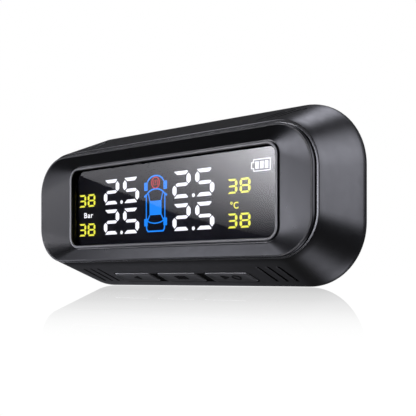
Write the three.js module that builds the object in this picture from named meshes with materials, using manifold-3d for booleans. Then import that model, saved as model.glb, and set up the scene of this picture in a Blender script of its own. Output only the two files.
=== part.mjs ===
// Windscreen-mounted tyre pressure monitor: a flared housing with a dished front bezel, a recessed
// display window, three push buttons on the sloping underside and a solar panel at the back, which
// sticks to the glass with a clear gel film.
// Millimetres. +X is to the right seen from the front, +Y runs back to the windscreen, +Z is up. The
// origin is the centre of the film's sticky face. Depths are counted back from the bezel's front edge.
import * as THREE from 'three';
import { mergeVertices } from 'three/addons/utils/BufferGeometryUtils.js';
import Module from 'manifold-3d';

const wasm = await Module();
wasm.setup();

// Driving dimensions
const FRONT = { halfWidth: 50.6, halfHeight: 15.87, top: 11.6, bottom: 10.8 }; // outline at depth 0
const WIDEST = { halfWidth: 53, halfHeight: 22.71, top: 16.5, bottom: 15.8 }; // outline at FLARE_END
const FLARE_END = 16.75;
const REAR_RADIUS = 5.5;
const HOUSING_END = FLARE_END + REAR_RADIUS;
const FILM_GAP = 0.25;
const FILM_THICKNESS = 1.5;
const TOTAL_DEPTH = HOUSING_END + FILM_GAP + FILM_THICKNESS;
const WALL = 2;
const FRONT_WALL = 1.1; // the housing's wall where the bezel's tongue sits inside it
const FIT_GAP = 0.3;
const THIN_GAP = 0.15;
const CORNER_STEPS = 8;

// Bezel and display stack, front to back
const BEZEL_RIM = { halfWidth: 50.05, halfHeight: 15.75, top: 11.1, bottom: 10.4 };
const BEZEL_CENTRE = { x: 0, z: -0.25 };
const FLANGE_END = 0.8;
const HOUSING_START = 1.3;
const DISH_LAND = 0.55;
const DISH_DEPTH = 2.5;
const BEZEL_BACK = 4.1;
const WINDOW = { halfWidth: 37.85, halfHeight: 11.17, radius: 2.7 };
const LIP = { width: 0.9, rise: 0.4 };
const LENS = { pocket: 3.45, start: 3.65, end: 4.35, overlap: 1.6 };
const LCD = { start: 4.55, end: 6.35, halfWidth: 38.5, halfHeight: 12.2 };
const BACKLIGHT = { start: 6.55, end: 8.35, halfWidth: 38.2, halfHeight: 12 };
const DISPLAY_FRAME = { start: 4.5, end: 9, halfWidth: 40.6, halfHeight: 13.6 };

// Main board, which stops above the switch board
const BOARD = { start: 10, end: 11.2, halfWidth: 45.5, halfHeight: 12.6, centreZ: 2 };
const BOARD_SCREW = { x: 43.4, z: 9.4, thread: 0.95, headRadius: 1.9 };
const REAR_SCREW = { x: 43.8, z: 9.2, thread: 0.95, headRadius: 2.1 };
const SCREW_HOLE = 1.25;
const BOSS_RADIUS = 2.6;

const USB = { x: -46.9, depth: 13.2, z: 0, length: 7.2, height: 9, thickness: 3.2 };

// Rear cover, solar panel and battery
const COVER = { start: 19.65, halfWidth: 46.9, halfHeight: 18, radius: 11.3 };
const PANEL = { start: 21.15, end: 22.15, halfWidth: 33, halfHeight: 11.5, radius: 1.2 };
const PANEL_LEDGE = { depth: 20.35, width: 2 };
const FILM = { halfWidth: 40.5, halfHeight: 14.6, radius: 5 };
const BATTERY = { start: 12.9, end: 17.9, halfWidth: 17, halfHeight: 11, x: 4, z: 2.5 };

// Buttons and slots on the sloping walls
const SLOPE = Math.atan((WIDEST.halfHeight - FRONT.halfHeight) / FLARE_END);
const BUTTON = { width: 15, length: 5.6, radius: 1, proud: 0.2, pitch: 17.9, rowX: -1.3, depth: 11.7 };
const BUTTON_GAP = 0.35;
const FLANGE = { margin: 0.9, start: 2.25, thickness: 0.8 };
const STEM = { radius: 1.2, end: 3.75 };
const PLUNGER = { radius: 1.5, start: 3.85, end: 5.05 };
const SWITCH = { size: 6, start: 4.55, end: 6.75, boreRadius: 1.9, boreEnd: 6.05 };
const SWITCH_BOARD = { start: 6.9, end: 7.9, width: 50, length: 7 };
const SLOT = { width: 0.9, length: 9.6, pitch: 3.15, innerX: 29.9, depth: 9.9 };
const TOP_SLOT = { length: 8.8, depth: 8.9, slantDegrees: 25, innerX: 31.8 };

const MATERIALS = {
  shell: { color: 0x1d1d1f, roughness: 0.42, metalness: 0 },
  bezel: { color: 0x2a2a2d, roughness: 0.36, metalness: 0 },
  button: { color: 0x323234, roughness: 0.5, metalness: 0 },
  seal: { color: 0x0b0b0b, roughness: 0.8, metalness: 0 },
  lens: { color: 0x07070c, roughness: 0.05, metalness: 0 },
  lcd: { color: 0x0a0a14, roughness: 0.1, metalness: 0 },
  lightPlate: { color: 0xe6e8ec, roughness: 0.4, metalness: 0 },
  whitePlastic: { color: 0xd9d9d6, roughness: 0.5, metalness: 0 },
  board: { color: 0x14512b, roughness: 0.5, metalness: 0 },
  chip: { color: 0x111111, roughness: 0.6, metalness: 0 },
  steel: { color: 0xb8bcc0, roughness: 0.3, metalness: 1 },
  copper: { color: 0xb87333, roughness: 0.3, metalness: 1 },
  battery: { color: 0xb9bdc2, roughness: 0.35, metalness: 0.6 },
  foam: { color: 0x2b2b2b, roughness: 0.95, metalness: 0 },
  solar: { color: 0x0a1024, roughness: 0.15, metalness: 0 },
  film: { color: 0xdfe6ea, roughness: 0.1, metalness: 0 },
  redWire: { color: 0xb01818, roughness: 0.5, metalness: 0 },
  blackWire: { color: 0x141414, roughness: 0.5, metalness: 0 },
};

const yAt = (depth) => depth - TOTAL_DEPTH;
const mix = (from, to, share) => from + (to - from) * share;

// The housing's outline at a depth: a straight flare, then a quarter round at the rear edge
function outlineAt(depth) {
  const share = depth / FLARE_END;
  const beyond = Math.max(0, depth - FLARE_END) / REAR_RADIUS;
  const inset = REAR_RADIUS * (1 - Math.sqrt(1 - Math.min(1, beyond) ** 2));
  const size = {};
  for (const key of Object.keys(FRONT)) size[key] = mix(FRONT[key], WIDEST[key], share) - inset;
  return size;
}

function shrink(size, by) {
  const smaller = {};
  for (const key of Object.keys(size)) smaller[key] = size[key] - by;
  return smaller;
}

// Points round a rounded rectangle at a depth, anticlockwise seen from the front
function ring(size, depth, centre = { x: 0, z: 0 }) {
  const corners = [[1, 1, size.top], [-1, 1, size.top], [-1, -1, size.bottom], [1, -1, size.bottom]];
  const points = [];
  corners.forEach(([sideX, sideZ, radius], quarter) => {
    for (let step = 0; step <= CORNER_STEPS; step++) {
      const angle = (quarter + step / CORNER_STEPS) * Math.PI / 2;
      const x = sideX * (size.halfWidth - radius) + radius * Math.cos(angle);
      const z = sideZ * (size.halfHeight - radius) + radius * Math.sin(angle);
      points.push([centre.x + x, yAt(depth), centre.z + z]);
    }
  });
  return points;
}

// A closed solid through rings of equal length, front to back
function loft(rings) {
  const count = rings[0].length;
  const vertices = rings.flat();
  const triangles = [];
  for (let level = 0; level + 1 < rings.length; level++) {
    for (let at = 0; at < count; at++) {
      const front = level * count + at;
      const frontNext = level * count + (at + 1) % count;
      triangles.push(front, front + count, frontNext);
      triangles.push(frontNext, front + count, frontNext + count);
    }
  }
  const last = (rings.length - 1) * count;
  for (let at = 1; at + 1 < count; at++) {
    triangles.push(0, at, at + 1);
    triangles.push(last, last + at + 1, last + at);
  }
  const vertProperties = new Float32Array(vertices.flat());
  const triVerts = new Uint32Array(triangles);
  return new wasm.Manifold(new wasm.Mesh({ numProp: 3, vertProperties, triVerts }));
}

function slab(halfWidth, halfHeight, radius, start, end, centre) {
  const size = { halfWidth, halfHeight, top: radius, bottom: radius };
  return loft([ring(size, start, centre), ring(size, end, centre)]);
}

function solidOf(geometry) {
  const bare = geometry.index ? geometry.toNonIndexed() : geometry.clone();
  bare.deleteAttribute('normal');
  bare.deleteAttribute('uv');
  const merged = mergeVertices(bare, 1e-4);
  const vertProperties = new Float32Array(merged.attributes.position.array);
  const triVerts = new Uint32Array(merged.index.array);
  return new wasm.Manifold(new wasm.Mesh({ numProp: 3, vertProperties, triVerts }));
}

// A rounded rectangle in the XY plane, pulled from z = start to z = end
function prism(width, length, radius, start, end) {
  const [x, y] = [width / 2, length / 2];
  const shape = new THREE.Shape();
  shape.moveTo(x, -y + radius).lineTo(x, y - radius).absarc(x - radius, y - radius, radius, 0, Math.PI / 2);
  shape.lineTo(-x + radius, y).absarc(-x + radius, y - radius, radius, Math.PI / 2, Math.PI);
  shape.lineTo(-x, -y + radius).absarc(-x + radius, -y + radius, radius, Math.PI, Math.PI * 1.5);
  shape.lineTo(x - radius, -y).absarc(x - radius, -y + radius, radius, Math.PI * 1.5, Math.PI * 2);
  const geometry = new THREE.ExtrudeGeometry(shape, { depth: end - start, bevelEnabled: false, curveSegments: 4 });
  return solidOf(geometry.translate(0, 0, start));
}

const block = (x, y, z) => solidOf(new THREE.BoxGeometry(x, y, z));

// A round bar along Z in a button's frame
function bar(radius, start, end) {
  const geometry = new THREE.CylinderGeometry(radius, radius, end - start, 20);
  return solidOf(geometry.rotateX(Math.PI / 2)).translate([0, 0, (start + end) / 2]);
}

// A round bar along the depth, in the part's frame
function post(radius, start, end, x, z) {
  const geometry = new THREE.CylinderGeometry(radius, radius, end - start, 20);
  return solidOf(geometry).translate([x, yAt((start + end) / 2), z]);
}

const joined = (first, ...others) => others.reduce((whole, piece) => whole.add(piece), first);
const cut = (first, ...others) => others.reduce((whole, piece) => whole.subtract(piece), first);

function piece(name, solid, material) {
  const { vertProperties, triVerts } = solid.getMesh();
  const geometry = new THREE.BufferGeometry();
  geometry.setAttribute('position', new THREE.BufferAttribute(vertProperties, 3));
  geometry.setIndex(new THREE.BufferAttribute(triVerts, 1));
  geometry.computeVertexNormals();
  const mesh = new THREE.Mesh(geometry, new THREE.MeshStandardMaterial(MATERIALS[material]));
  mesh.name = name;
  return mesh;
}

// A frame on a sloping wall: X along the wall, Y back along the slope, Z into the housing
function wallFrame(depth, side) {
  const frame = new THREE.Group();
  frame.position.set(0, yAt(depth), side * outlineAt(depth).halfHeight);
  frame.rotation.set(-SLOPE, 0, 0);
  if (side > 0) frame.rotation.set(SLOPE + Math.PI, 0, 0);
  frame.updateMatrix();
  return frame;
}

const fourCorners = ({ x, z }) => [[x, z], [-x, z], [-x, -z], [x, -z]];
const placed = (solid, frame) => solid.transform([...frame.matrix.elements]);
const underside = wallFrame(BUTTON.depth, -1);
const buttonX = (index) => BUTTON.rowX + (index - 1) * BUTTON.pitch;

function slotCutters() {
  const cutters = [];
  const bottomFrame = wallFrame(SLOT.depth, -1);
  const topFrame = wallFrame(TOP_SLOT.depth, 1);
  for (const side of [-1, 1]) {
    for (let index = 0; index < 3; index++) {
      const lower = block(SLOT.width, SLOT.length, WALL * 3);
      const lowerX = side * (SLOT.innerX + index * SLOT.pitch);
      cutters.push(placed(lower.translate([lowerX, 0, 0]), bottomFrame));
      const upper = block(SLOT.width, TOP_SLOT.length, WALL * 3).rotate([0, 0, side * TOP_SLOT.slantDegrees]);
      const upperX = side * (TOP_SLOT.innerX + index * SLOT.pitch);
      cutters.push(placed(upper.translate([upperX, 0, 0]), topFrame));
    }
  }
  return cutters;
}

function buttonCutter(index) {
  const hole = prism(BUTTON.width + 2 * BUTTON_GAP, BUTTON.length + 2 * BUTTON_GAP, BUTTON.radius + BUTTON_GAP, -2, 4);
  return placed(hole.translate([buttonX(index), 0, 0]), underside);
}

// A rounded bar along X, with its long side upright
function uprightPrism(height, thickness, radius, length) {
  return prism(height, thickness, radius, -length / 2, length / 2).rotate([0, 90, 0]);
}

function housing() {
  const rings = [ring(outlineAt(HOUSING_START), HOUSING_START)];
  for (let step = 0; step <= 6; step++) {
    const depth = FLARE_END + REAR_RADIUS * Math.sin(step * Math.PI / 12);
    rings.push(ring(outlineAt(depth), depth));
  }
  const outside = loft(rings);
  const cavity = loft([-1, FLARE_END, COVER.start].map((depth) => ring(shrink(outlineAt(depth), WALL), depth)));
  const tongueSeat = shrink(outlineAt(HOUSING_START), FRONT_WALL);
  const rebate = loft([ring(tongueSeat, 0), ring(tongueSeat, BEZEL_BACK + FIT_GAP)]);
  const rearOpening = slab(
    COVER.halfWidth + FIT_GAP, COVER.halfHeight + FIT_GAP, COVER.radius + FIT_GAP, COVER.start - 1, HOUSING_END + 1);
  const shell = cut(outside, cavity, rebate, rearOpening);
  const bosses = [];
  const holes = [];
  const [bossStart, bossEnd] = [13.2, COVER.start - THIN_GAP];
  for (const [x, z] of fourCorners(REAR_SCREW)) {
    const web = block(8, bossEnd - bossStart, 1.6);
    const webX = x + Math.sign(x) * 4;
    bosses.push(post(BOSS_RADIUS, bossStart, bossEnd, x, z));
    bosses.push(web.translate([webX, yAt((bossStart + bossEnd) / 2), z]));
    holes.push(post(SCREW_HOLE, bossStart - 1, bossEnd + 1, x, z));
  }
  const joinedBosses = joined(...bosses).intersect(outside);
  const usbHole = block(14, 4, 10).translate([-52, yAt(USB.depth), USB.z]);
  const buttonHoles = [0, 1, 2].map(buttonCutter);
  return cut(joined(shell, joinedBosses), ...holes, usbHole, ...buttonHoles, ...slotCutters());
}

// A slab of the window's outline, grown by a margin
function windowSlab(margin, start, end) {
  return slab(WINDOW.halfWidth + margin, WINDOW.halfHeight + margin, WINDOW.radius + margin, start, end);
}

function bezel() {
  const flange = loft([ring(BEZEL_RIM, 0, BEZEL_CENTRE), ring(BEZEL_RIM, FLANGE_END, BEZEL_CENTRE)]);
  const tongueSize = shrink(outlineAt(HOUSING_START), FRONT_WALL + FIT_GAP);
  const tongue = loft([ring(tongueSize, FLANGE_END - 0.2), ring(tongueSize, BEZEL_BACK)]);
  const lipSize = {
    halfWidth: WINDOW.halfWidth + LIP.width, halfHeight: WINDOW.halfHeight + LIP.width,
    top: WINDOW.radius + LIP.width, bottom: WINDOW.radius + LIP.width };
  const dish = loft([
    ring(shrink(BEZEL_RIM, DISH_LAND - 0.2), -0.4, BEZEL_CENTRE),
    ring(shrink(BEZEL_RIM, DISH_LAND), 0, BEZEL_CENTRE),
    ring(lipSize, DISH_DEPTH)]);
  const lip = loft([ring(lipSize, DISH_DEPTH - LIP.rise), ring(lipSize, DISH_DEPTH + 0.2)]);
  const windowHole = windowSlab(0, -1, BEZEL_BACK + 1);
  const lensPocket = windowSlab(LENS.overlap + FIT_GAP, LENS.pocket, BEZEL_BACK + 1);
  const posts = fourCorners(BOARD_SCREW).map(([x, z]) =>
    post(BOSS_RADIUS, BEZEL_BACK - 0.5, BOARD.start - THIN_GAP, x, z));
  const holes = fourCorners(BOARD_SCREW).map(([x, z]) => post(SCREW_HOLE, BEZEL_BACK + 0.6, BOARD.start + 1, x, z));
  return cut(joined(cut(joined(flange, tongue), dish), lip, ...posts), windowHole, lensPocket, ...holes);
}

function frontSeal() {
  const [start, end] = [FLANGE_END + 0.1, HOUSING_START - 0.1];
  const outer = shrink(outlineAt(HOUSING_START), 0.9);
  const inner = shrink(outlineAt(HOUSING_START), FRONT_WALL + 0.1);
  return cut(loft([ring(outer, start), ring(outer, end)]), loft([ring(inner, start - 1), ring(inner, end + 1)]));
}

function displayPieces() {
  const lens = windowSlab(LENS.overlap, LENS.start, LENS.end);
  const lcd = slab(LCD.halfWidth, LCD.halfHeight, 0.8, LCD.start, LCD.end);
  const backlight = slab(BACKLIGHT.halfWidth, BACKLIGHT.halfHeight, 0.8, BACKLIGHT.start, BACKLIGHT.end);
  const frame = cut(
    slab(DISPLAY_FRAME.halfWidth, DISPLAY_FRAME.halfHeight, 1.5, DISPLAY_FRAME.start, DISPLAY_FRAME.end),
    slab(LCD.halfWidth + FIT_GAP, LCD.halfHeight + FIT_GAP, 1, DISPLAY_FRAME.start - 1, DISPLAY_FRAME.end + 1));
  return [
    piece('window_lens', lens, 'lens'),
    piece('lcd_panel', lcd, 'lcd'),
    piece('backlight_plate', backlight, 'lightPlate'),
    piece('display_frame', frame, 'whitePlastic'),
  ];
}

// A pan-head screw along the depth. Its head faces the back.
function screw(name, { thread, headRadius }, headStart, length, x, z) {
  const headHeight = 1.1;
  const driveDepth = 0.6;
  const profile = [
    [0, -length], [thread * 0.6, -length], [thread, -length + 0.7], [thread, 0], [headRadius, 0],
    [headRadius, headHeight * 0.6], [headRadius * 0.75, headHeight], [0, headHeight],
  ].map(([radius, y]) => new THREE.Vector2(radius, y));
  const body = solidOf(new THREE.LatheGeometry(profile, 16));
  const drive = [0, 90].map((turn) =>
    block(headRadius * 1.2, driveDepth * 2, 0.5).rotate([0, turn, 0]).translate([0, headHeight, 0]));
  return piece(name, cut(body, ...drive).translate([x, yAt(headStart), z]), 'steel');
}

function screws() {
  const made = [];
  fourCorners(BOARD_SCREW).forEach(([x, z], index) =>
    made.push(screw(`board_screw_${index + 1}`, BOARD_SCREW, BOARD.end + THIN_GAP, 5.2, x, z)));
  fourCorners(REAR_SCREW).forEach(([x, z], index) =>
    made.push(screw(`rear_screw_${index + 1}`, REAR_SCREW, 21.05, 6.4, x, z)));
  return made;
}

// Wire or coil: a round section along a smooth path
function wire(name, points, radius, steps, material) {
  const path = new THREE.CatmullRomCurve3(points.map(([x, depth, z]) => new THREE.Vector3(x, yAt(depth), z)));
  const section = new THREE.Shape().absarc(0, 0, radius, 0, Math.PI * 2);
  const geometry = new THREE.ExtrudeGeometry(section, { steps, extrudePath: path, curveSegments: 4 });
  return piece(name, solidOf(geometry), material);
}

function coilPoints(x, depth, z) {
  const [turns, perTurn, radius, pitch] = [5, 8, 1.7, 1.3];
  const points = [[x, depth, z - 1.6]];
  for (let step = 0; step <= turns * perTurn; step++) {
    const angle = step / perTurn * Math.PI * 2;
    points.push([x + radius * Math.sin(angle), depth - radius * Math.cos(angle) + radius, z + step / perTurn * pitch]);
  }
  return points;
}

function electronics() {
  const centre = { x: 0, z: BOARD.centreZ };
  const board = cut(
    slab(BOARD.halfWidth, BOARD.halfHeight, 4, BOARD.start, BOARD.end, centre),
    ...fourCorners(BOARD_SCREW).map(([x, z]) => post(SCREW_HOLE, BOARD.start - 1, BOARD.end + 1, x, z)));
  const onBoard = BOARD.end + THIN_GAP;
  const mcu = slab(4.5, 4.5, 0.3, onBoard, onBoard + 1.1, { x: -24, z: 5 });
  const receiver = slab(5, 7, 0.4, onBoard, onBoard + 2, { x: 31, z: 3 });
  const connector = slab(12, 1.6, 0.3, onBoard, onBoard + 1.3, { x: 0, z: -8 });
  const buzzer = cut(
    post(4.5, onBoard, onBoard + 4.6, -34.5, 3), post(1, onBoard + 3.2, onBoard + 6, -34.5, 3));
  const pad = slab(14, 8.5, 1, BOARD.end + 0.2, BATTERY.start - 0.2, { x: BATTERY.x, z: BATTERY.z });
  const cell = slab(
    BATTERY.halfWidth, BATTERY.halfHeight, 1.8, BATTERY.start, BATTERY.end, { x: BATTERY.x, z: BATTERY.z });
  const leads = [['battery_lead_red', 'redWire', 8], ['battery_lead_black', 'blackWire', 5]];
  const cellEdge = BATTERY.x - BATTERY.halfWidth - FIT_GAP;
  return [
    piece('main_board', board, 'board'),
    piece('mcu_chip', mcu, 'chip'),
    piece('receiver_module', receiver, 'steel'),
    piece('display_connector', connector, 'whitePlastic'),
    piece('buzzer', buzzer, 'chip'),
    piece('battery_pad', pad, 'foam'),
    piece('battery_cell', cell, 'battery'),
    wire('antenna_coil', coilPoints(40.2, 12.2, -3.4), 0.35, 60, 'copper'),
    ...leads.map(([name, material, z]) => wire(
      name, [[cellEdge, 15.5, z], [cellEdge - 1.6, 15.4, z], [cellEdge - 2.6, 13.6, z], [cellEdge - 2.7, 11.8, z]],
      0.55, 10, material)),
    usbSocket(),
  ];
}

// The charging socket opens to the left, with its long side upright
function usbSocket() {
  const shell = uprightPrism(USB.height, USB.thickness, 1.4, USB.length);
  const cavity = uprightPrism(USB.height - 0.7, USB.thickness - 0.7, 1.1, USB.length).translate([-1.4, 0, 0]);
  const tongue = block(5.4, 0.8, 6.6).translate([USB.length / 2 - 3.2, 0, 0]);
  const socket = joined(cut(shell, cavity), tongue);
  return piece('usb_socket', socket.translate([USB.x, yAt(USB.depth), USB.z]), 'steel');
}

function rearPieces() {
  const screwPosts = fourCorners(REAR_SCREW);
  const ledgeWidth = PANEL.halfWidth + THIN_GAP - PANEL_LEDGE.width;
  const ledgeHeight = PANEL.halfHeight + THIN_GAP - PANEL_LEDGE.width;
  const cover = cut(
    slab(COVER.halfWidth, COVER.halfHeight, COVER.radius, COVER.start, HOUSING_END),
    slab(PANEL.halfWidth + FIT_GAP, PANEL.halfHeight + FIT_GAP, PANEL.radius, PANEL_LEDGE.depth, HOUSING_END + 1),
    slab(ledgeWidth, ledgeHeight, PANEL.radius, COVER.start - 1, HOUSING_END + 1),
    ...screwPosts.map(([x, z]) => post(SCREW_HOLE, COVER.start - 1, HOUSING_END + 1, x, z)),
    ...screwPosts.map(([x, z]) => post(REAR_SCREW.headRadius + 0.3, 20.9, HOUSING_END + 1, x, z)));
  const gasket = cut(
    slab(PANEL.halfWidth, PANEL.halfHeight, PANEL.radius, PANEL_LEDGE.depth + 0.1, PANEL.start - 0.1),
    slab(ledgeWidth + 0.3, ledgeHeight + 0.3, PANEL.radius, 0, HOUSING_END + 1));
  const panel = slab(PANEL.halfWidth, PANEL.halfHeight, PANEL.radius, PANEL.start, PANEL.end);
  const film = slab(FILM.halfWidth, FILM.halfHeight, FILM.radius, HOUSING_END + FILM_GAP, TOTAL_DEPTH);
  return [
    piece('rear_cover', cover, 'shell'),
    piece('panel_gasket', gasket, 'foam'),
    piece('solar_panel', panel, 'solar'),
    piece('adhesive_film', film, 'film'),
  ];
}

// One button column, in the underside's frame: cap with its flange and stem, plunger and switch
function buttonPieces(name, index) {
  const column = new THREE.Group();
  column.position.set(buttonX(index), 0, 0);
  const { width, length, radius, proud } = BUTTON;
  const flangeWidth = width + 2 * FLANGE.margin;
  const flangeLength = length + 2 * FLANGE.margin;
  const flangeEnd = FLANGE.start + FLANGE.thickness;
  const cap = joined(
    prism(width, length, radius, -proud, FLANGE.start + 0.1),
    prism(flangeWidth, flangeLength, radius, FLANGE.start, flangeEnd),
    bar(STEM.radius, flangeEnd - 0.1, STEM.end));
  const body = cut(
    prism(SWITCH.size, SWITCH.size, 0.4, SWITCH.start, SWITCH.end),
    bar(SWITCH.boreRadius, SWITCH.start - 1, SWITCH.boreEnd));
  column.add(
    piece(`button_${name}`, cap, 'button'),
    piece(`plunger_${name}`, bar(PLUNGER.radius, PLUNGER.start, PLUNGER.end), 'whitePlastic'),
    piece(`switch_${name}`, body, 'chip'));
  return column;
}

function buttonBank() {
  const board = prism(SWITCH_BOARD.width, SWITCH_BOARD.length, 0.8, SWITCH_BOARD.start, SWITCH_BOARD.end);
  underside.add(piece('switch_board', board.translate([BUTTON.rowX, 0, 0]), 'board'));
  ['left', 'mode', 'right'].forEach((name, index) => underside.add(buttonPieces(name, index)));
  return underside;
}

const group = new THREE.Group();
group.add(
  piece('housing', housing(), 'shell'),
  piece('front_bezel', bezel(), 'bezel'),
  piece('front_seal', frontSeal(), 'seal'),
  ...displayPieces(),
  ...electronics(),
  ...rearPieces(),
  ...screws(),
  buttonBank(),
);

export default group;
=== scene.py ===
import math

import bmesh
import bpy
from mathutils import Matrix, Vector


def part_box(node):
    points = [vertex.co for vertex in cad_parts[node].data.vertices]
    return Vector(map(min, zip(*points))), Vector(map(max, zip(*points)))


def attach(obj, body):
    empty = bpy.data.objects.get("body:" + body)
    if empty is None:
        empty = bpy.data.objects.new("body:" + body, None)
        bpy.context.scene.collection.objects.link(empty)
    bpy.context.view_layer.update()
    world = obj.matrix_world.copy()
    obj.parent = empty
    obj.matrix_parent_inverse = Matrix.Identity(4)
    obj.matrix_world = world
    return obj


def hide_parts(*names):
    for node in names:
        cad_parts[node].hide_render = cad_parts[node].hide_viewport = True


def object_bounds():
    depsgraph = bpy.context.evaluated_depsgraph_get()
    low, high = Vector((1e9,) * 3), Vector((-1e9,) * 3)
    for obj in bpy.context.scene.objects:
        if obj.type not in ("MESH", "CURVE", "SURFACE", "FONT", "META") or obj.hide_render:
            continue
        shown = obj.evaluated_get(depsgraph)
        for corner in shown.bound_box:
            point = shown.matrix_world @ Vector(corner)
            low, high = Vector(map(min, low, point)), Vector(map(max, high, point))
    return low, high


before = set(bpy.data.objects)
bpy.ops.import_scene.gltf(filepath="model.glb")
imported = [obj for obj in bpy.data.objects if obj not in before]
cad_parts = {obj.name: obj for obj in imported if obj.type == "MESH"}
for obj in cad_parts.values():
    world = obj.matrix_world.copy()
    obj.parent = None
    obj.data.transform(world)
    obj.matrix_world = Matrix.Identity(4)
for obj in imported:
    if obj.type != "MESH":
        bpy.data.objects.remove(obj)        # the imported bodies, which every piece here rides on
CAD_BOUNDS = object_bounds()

# Driving dimensions in millimetres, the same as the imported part's. Depths are counted back from the
# bezel's front edge. A size is (half width, half height, top corner radius, bottom corner radius).
MM = 0.001
FRONT_SIZE = (50.6, 15.87, 11.6, 10.8)
WIDEST_SIZE = (53.0, 22.71, 16.5, 15.8)
FLARE_END = 16.75
REAR_RADIUS = 5.5
HOUSING_END = FLARE_END + REAR_RADIUS
WALL = 2.0
FRONT_WALL = 1.1
FIT_GAP = 0.3
BEZEL_SIZE = (50.05, 15.75, 11.1, 10.4)
BEZEL_CENTRE = (0.0, -0.25)
FLANGE_END = 0.8
HOUSING_START = 1.3
DISH_LAND = 0.55
DISH_DEPTH = 2.5
BEZEL_BACK = 4.1
WINDOW_SIZE = (37.85, 11.17, 2.7, 2.7)
LIP_WIDTH, LIP_RISE = 0.9, 0.4
LENS_POCKET, LENS_OVERLAP = 3.45, 1.6
COVER_START = 19.65
COVER_SIZE = (46.9, 18.0, 11.3, 11.3)
PANEL_LEDGE_DEPTH, PANEL_LEDGE_WIDTH = 20.35, 2.0
SLOPE = math.atan((WIDEST_SIZE[1] - FRONT_SIZE[1]) / FLARE_END)
BUTTON_WIDTH, BUTTON_LENGTH, BUTTON_PROUD = 15.0, 5.6, 0.2
BUTTON_PITCH, BUTTON_ROW_X, BUTTON_DEPTH = 17.9, -1.3, 11.7
BUTTON_GAP, OPENING_RADIUS, OPENING_CHAMFER = 0.35, 1.35, 0.2
SCREW_NUMBERS = (1, 2, 3, 4)
WELL_DEPTH = 0.15  # of the wells between the buttons, which are painted black as shade
SLOT_WIDTH, SLOT_PITCH, SLOT_CHAMFER = 0.9, 3.15, 0.12
# The slots under and on top of the case: depth, side, length, innermost place across and slant
SLOT_ROWS = ((9.9, -1, 9.6, 29.9, 0.0), (8.9, 1, 8.8, 31.8, math.radians(25)))
USB_OPENING = (5.0, 2.0, 1.6)
CORNER_STEPS = 20
SHARP_DEGREES = 32
PLAIN_SIDES = {"side_steps": (1, 1)}

FRONT_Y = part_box("front_bezel")[0].y / MM
LENS_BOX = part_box("window_lens")
LCD_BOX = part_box("lcd_panel")
PANEL_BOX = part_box("solar_panel")
FILM_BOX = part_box("adhesive_film")
FLOOR_Z = CAD_BOUNDS[0][2]


# ------------ outlines and lofts

def y_at(depth):
    return FRONT_Y + depth


def depth_of(y_metres):
    return y_metres / MM - FRONT_Y


def shrink(size, by):
    return tuple(value - by for value in size)


def grow(size, by):
    return tuple(value + by for value in size)


def quarter(steps, radius):
    """What a round falls short by, from sine and from cosine, at even angles over a quarter turn."""
    angles = [step / steps * math.pi / 2 for step in range(steps + 1)]
    return [(radius * (1 - math.sin(angle)), radius * (1 - math.cos(angle))) for angle in angles]


def face_of(box):
    """A box's half width, half height and centre in millimetres, seen from the front."""
    low, high = box
    half = (high.x - low.x) / 2 / MM, (high.z - low.z) / 2 / MM
    return *half, ((low.x + high.x) / 2 / MM, (low.z + high.z) / 2 / MM)


def blend_size(first, second, share):
    return tuple(a + (b - a) * share for a, b in zip(first, second))


def outline_at(depth):
    """The housing's outline at a depth: a straight flare, then a quarter round at the rear edge."""
    beyond = min(1.0, max(0.0, depth - FLARE_END) / REAR_RADIUS)
    inset = REAR_RADIUS * (1 - math.sqrt(1 - beyond * beyond)) + 0.4 * beyond * (1 - beyond)
    return shrink(blend_size(FRONT_SIZE, WIDEST_SIZE, depth / FLARE_END), inset)


def rounded_outline(size, corner_steps=CORNER_STEPS, side_steps=(16, 5)):
    """Points round a rounded rectangle, anticlockwise, with its straight sides divided too."""
    half_width, half_height, top, bottom = size
    corners = [(1, 1, top), (-1, 1, top), (-1, -1, bottom), (1, -1, bottom)]
    arcs = []
    for quarter, (side_x, side_z, radius) in enumerate(corners):
        centre_x = side_x * (half_width - radius)
        centre_z = side_z * (half_height - radius)
        turns = [(quarter + step / corner_steps) * math.pi / 2 for step in range(corner_steps + 1)]
        arcs.append([(centre_x + radius * math.cos(t), centre_z + radius * math.sin(t)) for t in turns])
    points = []
    for quarter, arc in enumerate(arcs):
        points += arc
        start, end = arc[-1], arcs[(quarter + 1) % 4][0]
        steps = side_steps[quarter % 2]
        points += [blend_size(start, end, step / steps) for step in range(1, steps)]
    return points


def ring(size, depth, centre=(0.0, 0.0), **steps):
    """A rounded rectangle facing the front, at a depth."""
    return [Vector((centre[0] + x, y_at(depth), centre[1] + z)) * MM
            for x, z in rounded_outline(size, **steps)]


def loft(rings, closed=False):
    """A closed surface through rings of equal length: capped at both ends, or joined end to start."""
    bm = bmesh.new()
    rows = [[bm.verts.new(point) for point in points] for points in rings]
    count = len(rows[0])
    pairs = list(zip(rows, rows[1:]))
    if closed:
        pairs.append((rows[-1], rows[0]))
    for near, far in pairs:
        for at in range(count):
            after = (at + 1) % count
            bm.faces.new((near[at], far[at], far[after], near[after]))
    if not closed:
        bm.faces.new(rows[0])
        bm.faces.new(rows[-1][::-1])
    bmesh.ops.recalc_face_normals(bm, faces=bm.faces)
    return bm


def close_plate(bm, rows):
    """The faces of a flat plate between its near and far outlines."""
    near, far = rows
    bm.faces.new(near)
    bm.faces.new(far[::-1])
    for at in range(len(near)):
        after = (at + 1) % len(near)
        bm.faces.new((near[at], far[at], far[after], near[after]))


def add_object(name, data):
    made = bpy.data.objects.new(name, data)
    bpy.context.scene.collection.objects.link(made)
    return made


def new_object(name, bm):
    mesh = bpy.data.meshes.new(name)
    bm.to_mesh(mesh)
    bm.free()
    return add_object(name, mesh)


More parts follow.
